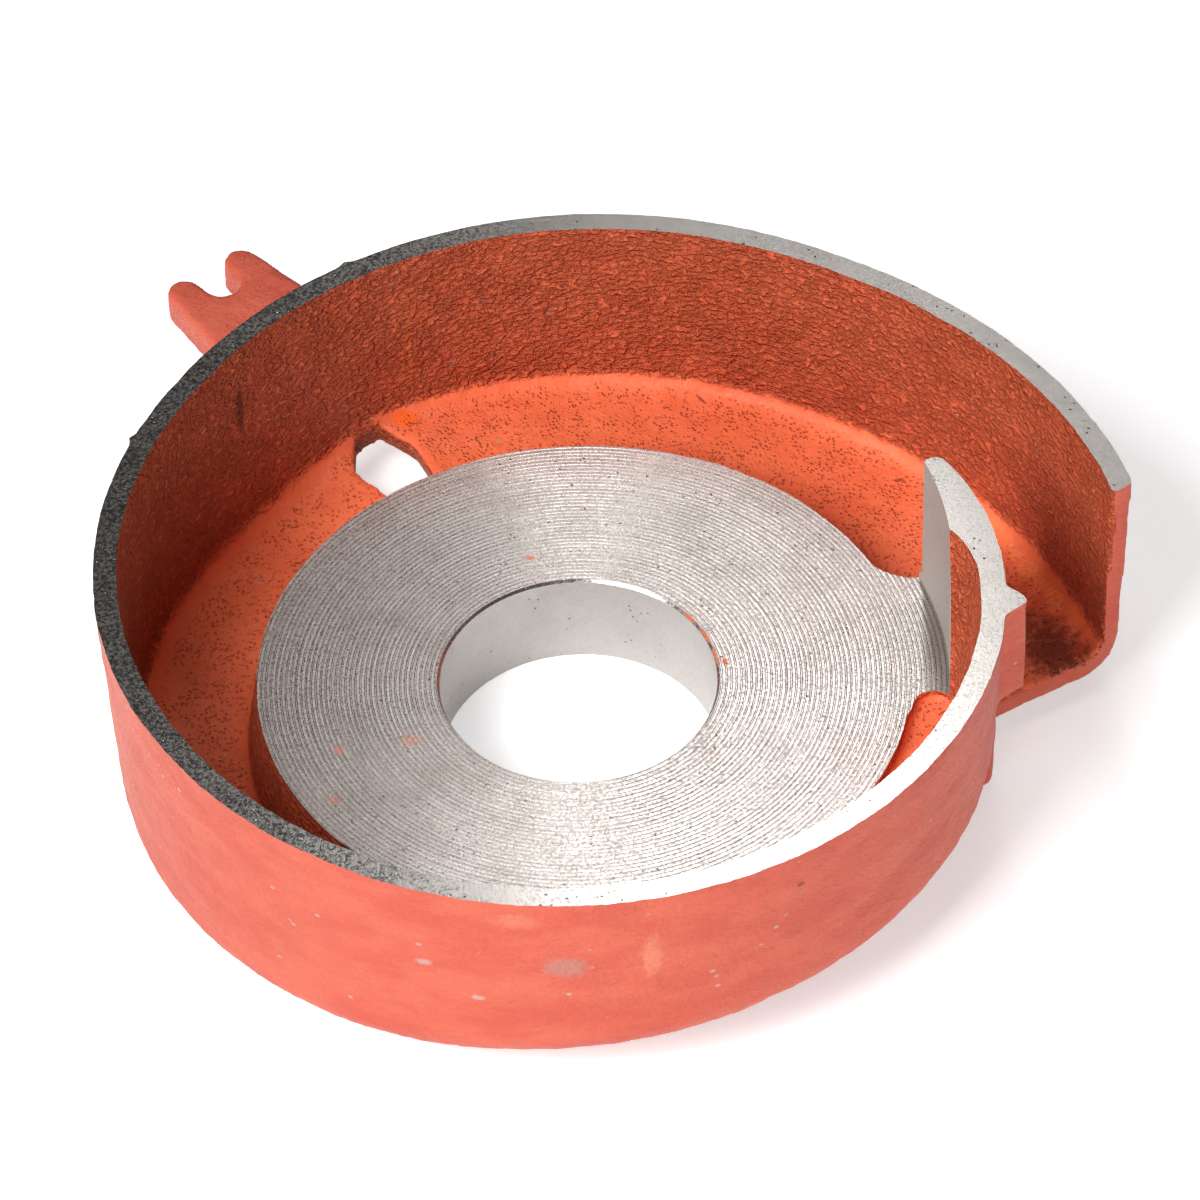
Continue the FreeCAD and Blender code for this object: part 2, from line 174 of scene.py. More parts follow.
def about_axis(middles: np.ndarray, normals: np.ndarray) -> tuple[np.ndarray, np.ndarray]:
    """Measure all faces about the bore's axis.

    Args:
        middles: the faces' middles.
        normals: the faces' normals.

    Returns:
        Each face's distance from the axis, and how far it points away from the axis, from -1 to 1.
    """
    radii = np.hypot(middles[:, 0], middles[:, 1])
    outward = (middles[:, 0] * normals[:, 0] + middles[:, 1] * normals[:, 1]) / radii
    return radii, outward


def select_faces(piece: bpy.types.Object, chosen: np.ndarray) -> None:
    """Select faces of a piece and leave it in edit mode.

    Args:
        piece: the mesh object.
        chosen: one truth value for each face.
    """
    only(piece)
    bpy.ops.object.mode_set(mode="EDIT")
    bpy.ops.mesh.select_mode(type="FACE")
    bpy.ops.mesh.select_all(action="DESELECT")
    bpy.ops.object.mode_set(mode="OBJECT")
    piece.data.polygons.foreach_set("select", chosen.astype(bool))
    bpy.ops.object.mode_set(mode="EDIT")


def bisect(piece: bpy.types.Object, height: float, keep_below: bool) -> None:
    """Cut a piece level at a height and close the cut.

    Args:
        piece: the mesh object.
        height: the height of the cut in metres.
        keep_below: whether what lies below the cut stays.
    """
    only(piece)
    bpy.ops.object.mode_set(mode="EDIT")
    bpy.ops.mesh.select_all(action="SELECT")
    bpy.ops.mesh.bisect(
        plane_co=(0.0, 0.0, height),
        plane_no=(0.0, 0.0, 1.0),
        use_fill=True,
        clear_outer=keep_below,
        clear_inner=not keep_below,
    )
    bpy.ops.object.mode_set(mode="OBJECT")


def boolean(piece: bpy.types.Object, other: bpy.types.Object, operation: str) -> None:
    """Cut or intersect a piece with another one, which is then deleted.

    Args:
        piece: the object that is changed.
        other: the object that cuts it.
        operation: the boolean modifier's operation.
    """
    modifier = piece.modifiers.new("cut", "BOOLEAN")
    modifier.operation = operation
    modifier.solver = "EXACT"
    modifier.object = other
    apply_modifiers(piece)
    only(other)
    bpy.ops.object.delete()


def finish_piece(piece: bpy.types.Object) -> None:
    """Make a finished piece ride on the one body.

    Args:
        piece: the finished object.
    """
    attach(piece, BODY)
    triangles = sum(len(face.vertices) - 2 for face in piece.data.polygons)
    log.info("%s: %d triangles", piece.name, triangles)


class Graph:
    """A material's nodes, added and joined in a few words."""

    def __init__(self, name: str) -> None:
        """Start an empty material.

        Args:
            name: the material's name.
        """
        self.material = bpy.data.materials.new(name)
        self.material.use_nodes = True
        self.tree = self.material.node_tree
        self.tree.nodes.clear()
        self.place = self.tree.nodes.new("ShaderNodeTexCoord").outputs["Object"]

    def add(self, kind: str, settings: dict | None = None, **inputs: object) -> bpy.types.Node:
        """Add a node.

        Args:
            kind: the node's type, without its common prefix.
            settings: properties of the node itself.
            inputs: values or sockets for its inputs, with underscores for spaces.

        Returns:
            The node.
        """
        node = self.tree.nodes.new("ShaderNode" + kind)
        for key, value in (settings or {}).items():
            setattr(node, key, value)
        for key, value in inputs.items():
            self.feed(node.inputs[key.replace("_", " ")], value)
        return node

    def feed(self, socket: Socket, value: object) -> None:
        """Set an input, or join it to another node's output."""
        if isinstance(value, Socket):
            self.tree.links.new(value, socket)
        elif isinstance(value, tuple) and len(value) == 3 and socket.type == "RGBA":
            socket.default_value = (*value, 1.0)
        else:
            socket.default_value = value

    def noise(self, size: float, detail: float, rough: float = 0.55, where: Socket | None = None,
              twist: float = 0.0) -> Socket:
        """Add cloudy noise.

        Args:
            size: the patches' size in millimetres.
            detail: the number of finer layers.
            rough: the weight of the finer layers.
            where: the coordinates, or None for the object's own.
            twist: how much the pattern is warped.

        Returns:
            A value near 0.5.
        """
        node = self.add("TexNoise", Vector=where or self.place, Scale=1.0 / mm(size), Detail=detail,
                        Roughness=rough, Distortion=twist)
        return node.outputs["Fac"]

    def times(self, first: Socket | float, second: Socket | float) -> Socket:
        """Multiply two values."""
        return self.math("MULTIPLY", first, second)

    def stretch(self, scale: Place) -> Socket:
        """Multiply the object's coordinates by a factor along each axis."""
        return self.add("Mapping", Vector=self.place, Scale=scale).outputs["Vector"]

    def radius(self) -> Socket:
        """Measure the distance from the bore's axis, in metres."""
        flat = self.stretch((1.0, 1.0, 0.0))
        length = self.add("VectorMath", {"operation": "LENGTH"})
        self.feed(length.inputs[0], flat)
        return length.outputs["Value"]

    def ramp(self, value: Socket, span: Span, result: Span = RISING) -> Socket:
        """Map a value from one span to another, clamped and with soft ends.

        Args:
            value: the value to map.
            span: the values where the result starts and ends.
            result: the result at the span's start and at its end.

        Returns:
            The mapped value.
        """
        node = self.add("MapRange", {"interpolation_type": "SMOOTHSTEP"}, Value=value)
        names = ("From Min", "From Max", "To Min", "To Max")
        for name, number in zip(names, (*span, *result)):
            node.inputs[name].default_value = number
        return node.outputs["Result"]

    def math(self, operation: str, *values: Socket | float) -> Socket:
        """Combine up to three values with one arithmetic operation."""
        node = self.add("Math", {"operation": operation})
        for socket, value in zip(node.inputs, values):
            self.feed(socket, value)
        return node.outputs["Value"]

    def mix(self, share: Socket, first: Socket | Colour, second: Socket | Colour) -> Socket:
        """Blend two colours; share is the second one's part."""
        node = self.add("Mix", {"data_type": "RGBA"})
        self.feed(node.inputs["Factor"], share)
        first_colour, second_colour = (socket for socket in node.inputs if socket.type == "RGBA")
        self.feed(first_colour, first)
        self.feed(second_colour, second)
        return next(socket for socket in node.outputs if socket.type == "RGBA")

    def bump(self, height: Socket, depth: float, strength: float = 1.0,
             normal: Socket | None = None) -> Socket:
        """Turn a height pattern into a bent normal.

        Args:
            height: the pattern.
            depth: the height of the pattern's full range in millimetres.
            strength: how strongly the pattern shows.
            normal: a normal to build on.

        Returns:
            The bent normal.
        """
        node = self.add("Bump", Height=height, Distance=mm(depth), Strength=strength)
        if normal is not None:
            self.feed(node.inputs["Normal"], normal)
        return node.outputs["Normal"]

    def finish(self, settings: dict[str, object]) -> bpy.types.Material:
        """Add the main shader and the output.

        Args:
            settings: values or sockets for the shader's inputs.

        Returns:
            The finished material.
        """
        shader = self.add("BsdfPrincipled")
        for key, value in settings.items():
            self.feed(shader.inputs[key], value)
        self.add("OutputMaterial", Surface=shader.outputs["BSDF"])
        return self.material


@dataclass(frozen=True)
class Clouds:
    """Patches of noise: their size in millimetres, their layers and where they fade in."""

    size: float
    detail: float
    span: Span
    result: Span = RISING
    rough: float = 0.55
    twist: float = 0.0
    squeeze: Place | None = None

    def share(self, graph: Graph) -> Socket:
        """Work out how much a point belongs to the patches."""
        where = graph.stretch(self.squeeze) if self.squeeze else None
        noise = graph.noise(self.size, self.detail, self.rough, where, self.twist)
        return graph.ramp(noise, self.span, self.result)


@dataclass(frozen=True)
class Dots:
    """Scattered round dots: their spacing in millimetres and, as shares of it, where they fade."""

    spacing: float
    span: Span
    squeeze: Place | None = None

    def share(self, graph: Graph) -> Socket:
        """Work out how much a point belongs to a dot."""
        where = graph.stretch(self.squeeze) if self.squeeze else graph.place
        cells = graph.add("TexVoronoi", Vector=where, Scale=1.0 / mm(self.spacing))
        return graph.ramp(cells.outputs["Distance"], self.span, FALLING)


@dataclass(frozen=True)
class Mark:
    """One mark with a ragged edge: what lies in an ellipsoid of the casing's frame.

    The middle and the radii are in millimetres, and the ellipsoid's own turn is in degrees. The
    edges are where the mark fades, as shares of the radii.
    """

    middle: Place
    radii: Place
    colour: Colour
    strength: float = 0.7
    turn: float = 0.0
    ragged: float = 1.6
    inner_edge: float = 0.4
    outer_edge: float = 1.1

    def share(self, graph: Graph) -> Socket:
        """Work out how much a point belongs to the mark."""
        place = graph.add(
            "Mapping", {"vector_type": "TEXTURE"}, Vector=graph.place,
            Location=tuple(mm(value) for value in self.middle),
            Rotation=(0.0, 0.0, math.radians(self.turn)),
            Scale=tuple(mm(value) for value in self.radii),
        )
        length = graph.add("VectorMath", {"operation": "LENGTH"})
        graph.feed(length.inputs[0], place.outputs["Vector"])
        noise = graph.noise(size=2.4, detail=5.0, rough=0.7)
        edge = graph.math("MULTIPLY_ADD", noise, self.ragged, length.outputs["Value"])
        shift = self.ragged * 0.5
        inside = graph.ramp(edge, (self.inner_edge + shift, self.outer_edge + shift), FALLING)
        return graph.times(inside, self.strength)


LYING: Place = (1.0, 1.0, 1.5)
BANKED: Place = (1.0, 1.0, 2.5)
WALL_RISE: Span = (0.15, 0.6)
LEVEL_RISE: Span = (0.7, 0.95)
PEBBLE_GAP: Span = (0.0, 0.4)

LUMP_PATCHES = Clouds(size=9.0, detail=2.0, span=(0.3, 0.65), result=(0.55, 1.0))
PORE_PATCHES = Clouds(size=4.0, detail=5.0, span=(0.36, 0.62), result=(0.1, 1.0), rough=0.6)
TONES = Clouds(size=24.0, detail=6.0, span=(0.36, 0.64), rough=0.6, squeeze=BANKED)
GLOSSY_SPOTS = Clouds(size=0.9, detail=2.0, span=(0.6, 0.68), squeeze=LYING)
PORES = Dots(spacing=0.95, span=(0.16, 0.46))
CHIPS = Dots(spacing=7.0, span=(0.05, 0.13), squeeze=LYING)


@dataclass(frozen=True)
class PrimedIron:
    """Red primer on rough cast iron: pebbly on walls, with fine pores on level faces.

    The pebbles' size, the depths and the wall shade's places are in millimetres. The deep colour
    lies in pores, and as painted shade between pebbles and on walls far from the bore's axis.
    """

    name: str
    bright: Colour
    plain: Colour
    deep: Colour
    pebble: float
    pebble_depth: float
    # share of the deep colour painted as shade into the gaps between pebbles
    painted_gap_shade: float
    pore_depth: float
    pore_dirt: float = 0.42
    # share of the deep colour painted as shade on walls far from the axis, darkening them against
    # the level faces
    painted_wall_shade: float = 0.0
    wall_shade_start: float = 96.0
    wall_shade_fade: float = 4.0
    chips: float = 0.0
    chip_strength: float = 0.8
    roughness: float = 0.5
    gloss: float = 0.3
    specular: float = 0.2
    marks: tuple[Mark, ...] = ()

    def pebbles(self, graph: Graph, steep: Socket) -> Socket:
        """Lay pebbles on what is steep."""
        lumps = Clouds(size=self.pebble, detail=3.0, span=(0.34, 0.66), twist=0.3, squeeze=LYING)
        patchy = graph.times(lumps.share(graph), LUMP_PATCHES.share(graph))
        return graph.times(patchy, steep)

    def pores(self, graph: Graph, level: Socket) -> Socket:
        """Lay pores on what is level."""
        patchy = graph.times(PORES.share(graph), PORE_PATCHES.share(graph))
        return graph.times(patchy, level)

    def paint(self, graph: Graph, steep: Socket, pebbles: Socket, pores: Socket) -> Socket:
        """Colour the paint, with its dark pores, painted shade between pebbles and on walls, its
        chips and its marks.

        Args:
            graph: the material's nodes.
            steep: how much a point lies on a wall.
            pebbles: the pebbles' height.
            pores: the pores' depth.

        Returns:
            The colour.
        """
        colour = graph.mix(TONES.share(graph), self.plain, self.bright)
        # painted shade: the gaps between pebbles on walls take the deep colour
        shaded_gaps = graph.ramp(pebbles, PEBBLE_GAP, (self.painted_gap_shade, 0.0))
        colour = graph.mix(graph.times(shaded_gaps, steep), colour, self.deep)
        colour = graph.mix(graph.times(pores, self.pore_dirt), colour, self.deep)
        # painted shade: walls past a set distance from the axis take the deep colour and look
        # darker than the level faces; nearer walls, such as the pocket by the tongue, stay bright
        wall_shade_span = (mm(self.wall_shade_start), mm(self.wall_shade_start + self.wall_shade_fade))
        wall_shade_amount = graph.ramp(graph.radius(), wall_shade_span, (0.0, self.painted_wall_shade))
        colour = graph.mix(graph.times(steep, wall_shade_amount), colour, self.deep)
        chipped = Clouds(size=14.0, detail=3.0, span=(0.58 - self.chips, 0.6 - self.chips))
        chips = graph.times(CHIPS.share(graph), chipped.share(graph))
        colour = graph.mix(graph.times(chips, self.chip_strength), colour, CHIPPED_PAINT)
        for mark in self.marks:
            colour = graph.mix(mark.share(graph), colour, mark.colour)
        return colour

    def material(self) -> bpy.types.Material:
        """Build the material.

        Returns:
            The finished material.
        """
        graph = Graph(self.name)
        normal = graph.add("NewGeometry").outputs["Normal"]
        rise = graph.add("SeparateXYZ", Vector=normal).outputs["Z"]
        steep = graph.ramp(rise, WALL_RISE, FALLING)
        level = graph.ramp(rise, LEVEL_RISE)
        pebbles = self.pebbles(graph, steep)
        pores = self.pores(graph, level)
        swells = graph.bump(graph.noise(size=5.0, detail=3.0), depth=1.0, strength=0.8)
        pebbled = graph.bump(pebbles, self.pebble_depth, normal=swells)
        glossy = GLOSSY_SPOTS.share(graph)
        return graph.finish({
            "Base Color": self.paint(graph, steep, pebbles, pores),
            "Roughness": graph.math("MULTIPLY_ADD", glossy, -self.gloss, self.roughness),
            "Normal": graph.bump(pores, -self.pore_depth, normal=pebbled),
            "Specular IOR Level": self.specular,
        })


STAINS = Clouds(size=16.0, detail=6.0, span=(0.4, 0.68), result=(0.0, 0.4), rough=0.6)
PIT_PATCHES = Clouds(size=9.0, detail=3.0, span=(0.52, 0.6))
FINE_STAINS: Span = (0.5, 0.68)
FINE_STAIN_SHARE: Span = (0.0, 0.25)
FINE_GRAIN: Span = (0.3, 0.7)
PITS = Dots(spacing=1.9, span=(0.07, 0.17))
SPECKS = Dots(spacing=2.6, span=(0.06, 0.14))


@dataclass(frozen=True)
class BareIron:
    """Machined bare iron with tool marks, stains, pits and specks of primer.

    The grain, the rings' width and the pits' depth are in millimetres.
    """

    name: str
    colour: Colour
    stain: Colour
    roughness: float
    grain: float
    specks: float
    rings: float = 0.0
    ring_width: float = 0.9
    pit_depth: float = 0.15
    pit_dirt: float = 0.8
    metal: float = 1.0
    marks: tuple[Mark, ...] = ()

    def ring_lines(self, graph: Graph) -> Socket:
        """Draw uneven rings about the bore's axis."""
        scale = 1.0 / mm(self.ring_width)
        lines = graph.add("TexNoise", {"noise_dimensions": "1D"}, W=graph.radius(), Scale=scale,
                          Detail=2.0)
        return graph.ramp(lines.outputs["Fac"], (0.42, 0.66), (0.0, self.rings))

    def paint(self, graph: Graph) -> Socket:
        """Scatter the specks of primer and lay the marks."""
        sprayed = Clouds(size=20.0, detail=2.0, span=(0.62 - self.specks, 0.68 - self.specks))
        paint = graph.times(SPECKS.share(graph), sprayed.share(graph))
        for mark in self.marks:
            paint = graph.math("MAXIMUM", paint, mark.share(graph))
        return paint

    def material(self) -> bpy.types.Material:
        """Build the material.

        Returns:
            The finished material.
        """
        graph = Graph(self.name)
        fine = graph.noise(size=0.7, detail=3.0, rough=0.65)
        pits = graph.times(PITS.share(graph), PIT_PATCHES.share(graph))
        paint = self.paint(graph)
        colour = graph.mix(STAINS.share(graph), self.colour, self.stain)
        colour = graph.mix(graph.ramp(fine, FINE_STAINS, FINE_STAIN_SHARE), colour, self.stain)
        colour = graph.mix(self.ring_lines(graph), colour, self.stain)
        colour = graph.mix(graph.times(pits, self.pit_dirt), colour, CASTING_PIT)
        colour = graph.mix(paint, colour, PAINT_SPECK)
        bare = graph.math("SUBTRACT", 1.0, paint)
        rough_span = (self.roughness - 0.07, self.roughness + 0.1)
        return graph.finish({
            "Base Color": colour,
            "Metallic": graph.times(bare, self.metal),
            "Roughness": graph.ramp(fine, FINE_GRAIN, rough_span),
            "Normal": graph.bump(pits, -self.pit_depth, normal=graph.bump(fine, self.grain)),
        })


@dataclass
class Casting:
    """The one-piece casting with its rough skin and its cut faces.

    The lug, past lug_start from the bore's axis on the left, is painted like the outer side. The
    face is cut deeper by face_plate, and the turned plate fills that again.
    """

    rim_height: float = RIM_HEIGHT
    face_height: float = FACE_HEIGHT
    face_plate: float = mm(0.6)
    turned_radius: float = TURNED_RADIUS
    bore_radius: float = BORE_RADIUS
    stock: float = mm(2.5)
    voxel: float = mm(0.85)
    lump_size: float = mm(9.0)
    lump_depth: float = mm(0.5)
    grain_size: float = mm(2.6)
    grain_depth: float = mm(0.32)
    skin_layers: int = 2
    skin_level: float = 0.55
    smoothing: float = 0.5
    smooth_passes: int = 5
    merge: float = mm(0.005)
    triangles: int = 180000
    slab_half: float = mm(1.2)
    cutter_steps: int = 360
    overrun: float = mm(20.0)
    face_cutter_top: float = RIM_HEIGHT * 1.3
    lug_start: float = mm(114.0)
    tolerance: float = mm(0.06)
    smooth_angle: float = 50.0

    def add_stock_inwards(self, piece: bpy.types.Object, radius: float, lowest: float) -> None:
        """Narrow a round inner side by the machining stock.

        Args:
            piece: the copy of the CAD solid.
            radius: the side's radius.
            lowest: a height below all of it.
        """
        middles, normals = face_arrays(piece)
        radii, outward = about_axis(middles, normals)
        close = np.abs(radii - radius) < mm(0.2)
        select_faces(piece, close & (outward < INWARD) & (middles[:, 2] > lowest))
        bpy.ops.mesh.extrude_region_move()
        factor = 1.0 - self.stock / radius
        bpy.ops.transform.resize(value=(factor, factor, 1.0), center_override=(0.0, 0.0, 0.0))
        bpy.ops.object.mode_set(mode="OBJECT")

    def add_stock_above(self, piece: bpy.types.Object, height: float) -> None:
        """Raise a level face by the machining stock.

        Args:
            piece: the copy of the CAD solid.
            height: the face's height.
        """
        middles, normals = face_arrays(piece)
        close = np.abs(middles[:, 2] - height) < mm(0.05)
        select_faces(piece, close & (normals[:, 2] > UPWARD))
        bpy.ops.mesh.extrude_region_move(TRANSFORM_OT_translate={"value": (0.0, 0.0, self.stock)})
        bpy.ops.object.mode_set(mode="OBJECT")

    def stocked_copy(self) -> bpy.types.Object:
        """Copy the CAD solid and add the machining stock to the faces that are cut later.

        Returns:
            The copy.
        """
        piece = copy_of(frame["nodes"][NODE], "casting")
        only(piece)
        bpy.ops.object.mode_set(mode="EDIT")
        bpy.ops.mesh.select_all(action="SELECT")
        bpy.ops.mesh.remove_doubles(threshold=self.merge)
        bpy.ops.object.mode_set(mode="OBJECT")
        self.add_stock_inwards(piece, self.turned_radius, self.face_height)
        self.add_stock_inwards(piece, self.bore_radius, -self.stock)
        self.add_stock_above(piece, self.face_height)
        self.add_stock_above(piece, self.rim_height)
        return piece

    def roughen(self, piece: bpy.types.Object) -> None:
        """Round the corners and make the skin uneven.

        Args:
            piece: the stocked copy.
        """
        remesh = piece.modifiers.new("skin", "REMESH")
        remesh.mode = "VOXEL"
        remesh.voxel_size = self.voxel
        smooth = piece.modifiers.new("round", "SMOOTH")
        smooth.factor = self.smoothing
        smooth.iterations = self.smooth_passes
        for name, size, depth in (
            ("lumps", self.lump_size, self.lump_depth),
            ("grain", self.grain_size, self.grain_depth),
        ):
            texture = bpy.data.textures.new(name, "CLOUDS")
            texture.noise_scale = size
            texture.noise_depth = self.skin_layers
            displace = piece.modifiers.new(name, "DISPLACE")
            displace.texture = texture
            displace.texture_coords = "LOCAL"
            displace.strength = depth
            displace.mid_level = self.skin_level
        apply_modifiers(piece)

    def slab(self, piece: bpy.types.Object) -> bpy.types.Object:
        """Cut a level slab at the face's height, whose outline the turned plate takes.

        Args:
            piece: the rough casting, still with its stock.

        Returns:
            The slab.
        """
        slab = copy_of(piece, "slab")
        bisect(slab, self.face_height - self.slab_half, keep_below=False)
        bisect(slab, self.face_height + self.slab_half, keep_below=True)
        return slab

    def cutter(self, radius: float, low: float, high: float) -> bpy.types.Object:
        """Make a round cutter on the bore's axis.

        Args:
            radius: its radius.
            low: its lower end.
            high: its upper end.

        Returns:
            The cutter.
        """
        bpy.ops.object.select_all(action="DESELECT")
        bpy.ops.mesh.primitive_cylinder_add(
            vertices=self.cutter_steps,
            radius=radius,
            depth=high - low,
            location=(0.0, 0.0, (low + high) / 2.0),
        )
        tool = bpy.context.active_object
        bpy.ops.object.transform_apply(location=True, rotation=True, scale=True)
        return tool

    def machine(self, piece: bpy.types.Object) -> None:
        """Cut the rim, the face, the tongue's inner side and the bore.

        Args:
            piece: the rough casting.
        """
        wide = self.turned_radius * 2.0
        below = self.cutter(wide, -self.overrun, 0.0)
        boolean(piece, below, "DIFFERENCE")
        above = self.cutter(wide, self.rim_height, self.rim_height + self.overrun)
        boolean(piece, above, "DIFFERENCE")
        face_bottom = self.face_height - self.face_plate
        face = self.cutter(self.turned_radius, face_bottom, self.face_cutter_top)
        boolean(piece, face, "DIFFERENCE")
        bore = self.cutter(self.bore_radius, -self.stock, self.rim_height)
        boolean(piece, bore, "DIFFERENCE")

    def thin_out(self, piece: bpy.types.Object) -> None:
        """Bring the piece down to its number of triangles.

        Args:
            piece: the rough casting.
        """
        count = sum(len(face.vertices) - 2 for face in piece.data.polygons)
        decimate = piece.modifiers.new("thin", "DECIMATE")
        decimate.ratio = min(1.0, self.triangles / count)
        apply_modifiers(piece)

    def at_radius(self, radii: np.ndarray, radius: float) -> np.ndarray:
        """Tell which faces lie at a radius."""
        return np.abs(radii - radius) < self.tolerance

    def name_surfaces(self, piece: bpy.types.Object, materials: Finishes) -> None:
        """Give each face the material of its surface.

        Args:
            piece: the machined casting.
            materials: one material for each surface.
        """
        piece.data.materials.clear()
        for surface in Surface:
            piece.data.materials.append(materials[surface])
        middles, normals = face_arrays(piece)
        radii, outward = about_axis(middles, normals)
        heights, rises = middles[:, 2], normals[:, 2]
        lug = (radii > self.lug_start) & (middles[:, 0] < 0.0)
        outer_side = (outward > OUTWARD) & (radii > self.turned_radius)
        inner_side = outward < INWARD
        above_face = heights > self.face_height - mm(1.0)
        places = (
            (Surface.OUTSIDE, lug | outer_side | (rises < DOWNWARD)),
            (Surface.RIM, (heights > self.rim_height - mm(0.02)) & (rises > UPWARD)),
            (Surface.TONGUE, inner_side & above_face & self.at_radius(radii, self.turned_radius)),
            (Surface.BORE, inner_side & self.at_radius(radii, self.bore_radius)),
        )
        slots = np.full(len(middles), Surface.INSIDE.value)
        for surface, chosen in places:
            slots[chosen] = surface.value
        piece.data.polygons.foreach_set("material_index", slots.astype(np.int32))
        piece.data.update()

    def build(self, materials: Finishes) -> tuple[bpy.types.Object, bpy.types.Object]:
        """Build the casting.

        Args:
            materials: one material for each surface.

        Returns:
            The casting and the slab that gives the turned plate its outline.
        """
        piece = self.stocked_copy()
        self.roughen(piece)
        self.thin_out(piece)
        slab = self.slab(piece)
        self.machine(piece)
        self.name_surfaces(piece, materials)
        only(piece)
        bpy.ops.object.shade_smooth_by_angle(angle=math.radians(self.smooth_angle))
        return piece, slab


@dataclass
class TurnedPlate:
    """The turned face round the bore, with the grooves that the tool left."""

    face_height: float = FACE_HEIGHT
    thickness: float = mm(0.7)
    bore_radius: float = BORE_RADIUS
    chamfer: float = mm(0.6)
    outer_radius: float = TURNED_RADIUS - mm(0.02)
    pitch: float = mm(1.144)
    land_share: float = 0.5
    groove_depth: float = mm(0.1)
    groove_parts: tuple[float, ...] = (0.0, 0.33, 0.67, 1.0)
    steps: int = 288
    smooth_angle: float = 14.0

    def profile(self) -> list[Span]:
        """Work out the plate's upper profile from the outside in: lands and hollow grooves.

        Returns:
            Radius and height of each point.
        """
        points = []
        radius = self.outer_radius
        inner = self.bore_radius + self.chamfer
        while radius - self.pitch > inner:
            points.append((radius, 0.0))
            for part in self.groove_parts:
                place = self.land_share + (1.0 - self.land_share) * part
                depth = self.groove_depth * 4.0 * part * (1.0 - part)
                points.append((radius - self.pitch * place, -depth))
            radius -= self.pitch
        points.append((inner, 0.0))
        points.append((self.bore_radius, -self.chamfer))
        return [(radius, self.face_height + height) for radius, height in points]

    def turned_ring(self) -> bpy.types.Object:
        """Sweep the profile round the bore's axis, ring by ring, and close it below.

        Returns:
            The full ring.
        """
        base = self.face_height - self.thickness
        corners = [*self.profile(), (self.bore_radius, base), (self.outer_radius, base)]
        bpy.ops.object.select_all(action="DESELECT")
        bpy.ops.mesh.primitive_circle_add(
            vertices=self.steps, radius=self.outer_radius, location=(0.0, 0.0, 0.0)
        )
        plate = bpy.context.active_object
        plate.name = "turned_face"
        bpy.ops.object.mode_set(mode="EDIT")
        bpy.ops.mesh.select_all(action="SELECT")
        bpy.ops.transform.translate(value=(0.0, 0.0, base))
        radius, height = self.outer_radius, base
        for next_radius, next_height in corners:
            rise = (0.0, 0.0, next_height - height)
            bpy.ops.mesh.extrude_edges_move(TRANSFORM_OT_translate={"value": rise})
            factor = next_radius / radius
            middle = (0.0, 0.0, next_height)
            if next_radius != radius:
                bpy.ops.transform.resize(value=(factor, factor, 1.0), center_override=middle)
            radius, height = next_radius, next_height
        bpy.ops.mesh.select_all(action="SELECT")
        bpy.ops.mesh.remove_doubles(threshold=mm(0.002))
        bpy.ops.mesh.normals_make_consistent(inside=False)
        bpy.ops.object.mode_set(mode="OBJECT")
        return plate

    def build(self, slab: bpy.types.Object, finish: bpy.types.Material) -> bpy.types.Object:
        """Turn the plate and give it the casting's outline.

        Args:
            slab: a level slab of the casting at the face's height.
            finish: the plate's material.

        Returns:
            The plate.
        """
        plate = self.turned_ring()
        boolean(plate, slab, "INTERSECT")
        plate.data.materials.clear()
        plate.data.materials.append(finish)
        only(plate)
        bpy.ops.object.shade_smooth_by_angle(angle=math.radians(self.smooth_angle))
        return plate


LAMP_DISTANCE = 1.6


def around(azimuth: float, elevation: float) -> Place:
    """Give a lamp's place in a direction from the casing, with both angles in degrees."""
    turn, rise = math.radians(azimuth), math.radians(elevation)
    level = LAMP_DISTANCE * math.cos(rise)
    return level * math.cos(turn), level * math.sin(turn), LAMP_DISTANCE * math.sin(rise)


@dataclass(frozen=True)
class Lamp:
    """A soft lamp: its place, width and height in metres and its power in watts."""

    name: str
    place: Place
    width: float
    height: float
    power: float
    aim_height: float = mm(30.0)

    def hang(self) -> None:
        """Hang the lamp and turn it to the casing."""
        data = bpy.data.lights.new(self.name, "AREA")
        data.shape = "RECTANGLE"
        data.size = self.width
        data.size_y = self.height
        data.energy = self.power
        lamp = bpy.data.objects.new(self.name, data)
        bpy.context.scene.collection.objects.link(lamp)
        lamp.location = self.place
        beam = Vector((0.0, 0.0, self.aim_height)) - Vector(self.place)
        lamp.rotation_euler = beam.to_track_quat("-Z", "Y").to_euler()


LAMPS = (
    Lamp("key", around(225.0, 46.0), 0.8, 0.9, 30.0),
    Lamp("low_front", around(293.0, 10.0), 0.6, 0.5, 11.2),
    Lamp("top", (0.0, 0.0, LAMP_DISTANCE), 0.5, 0.5, 2.5),
    Lamp("back_broad", (0.17, 1.0, 1.2), 0.44, 0.8, 0.8),
    Lamp("back_bright", (0.07, 1.0, 1.34), 0.16, 0.40, 1.4),
)


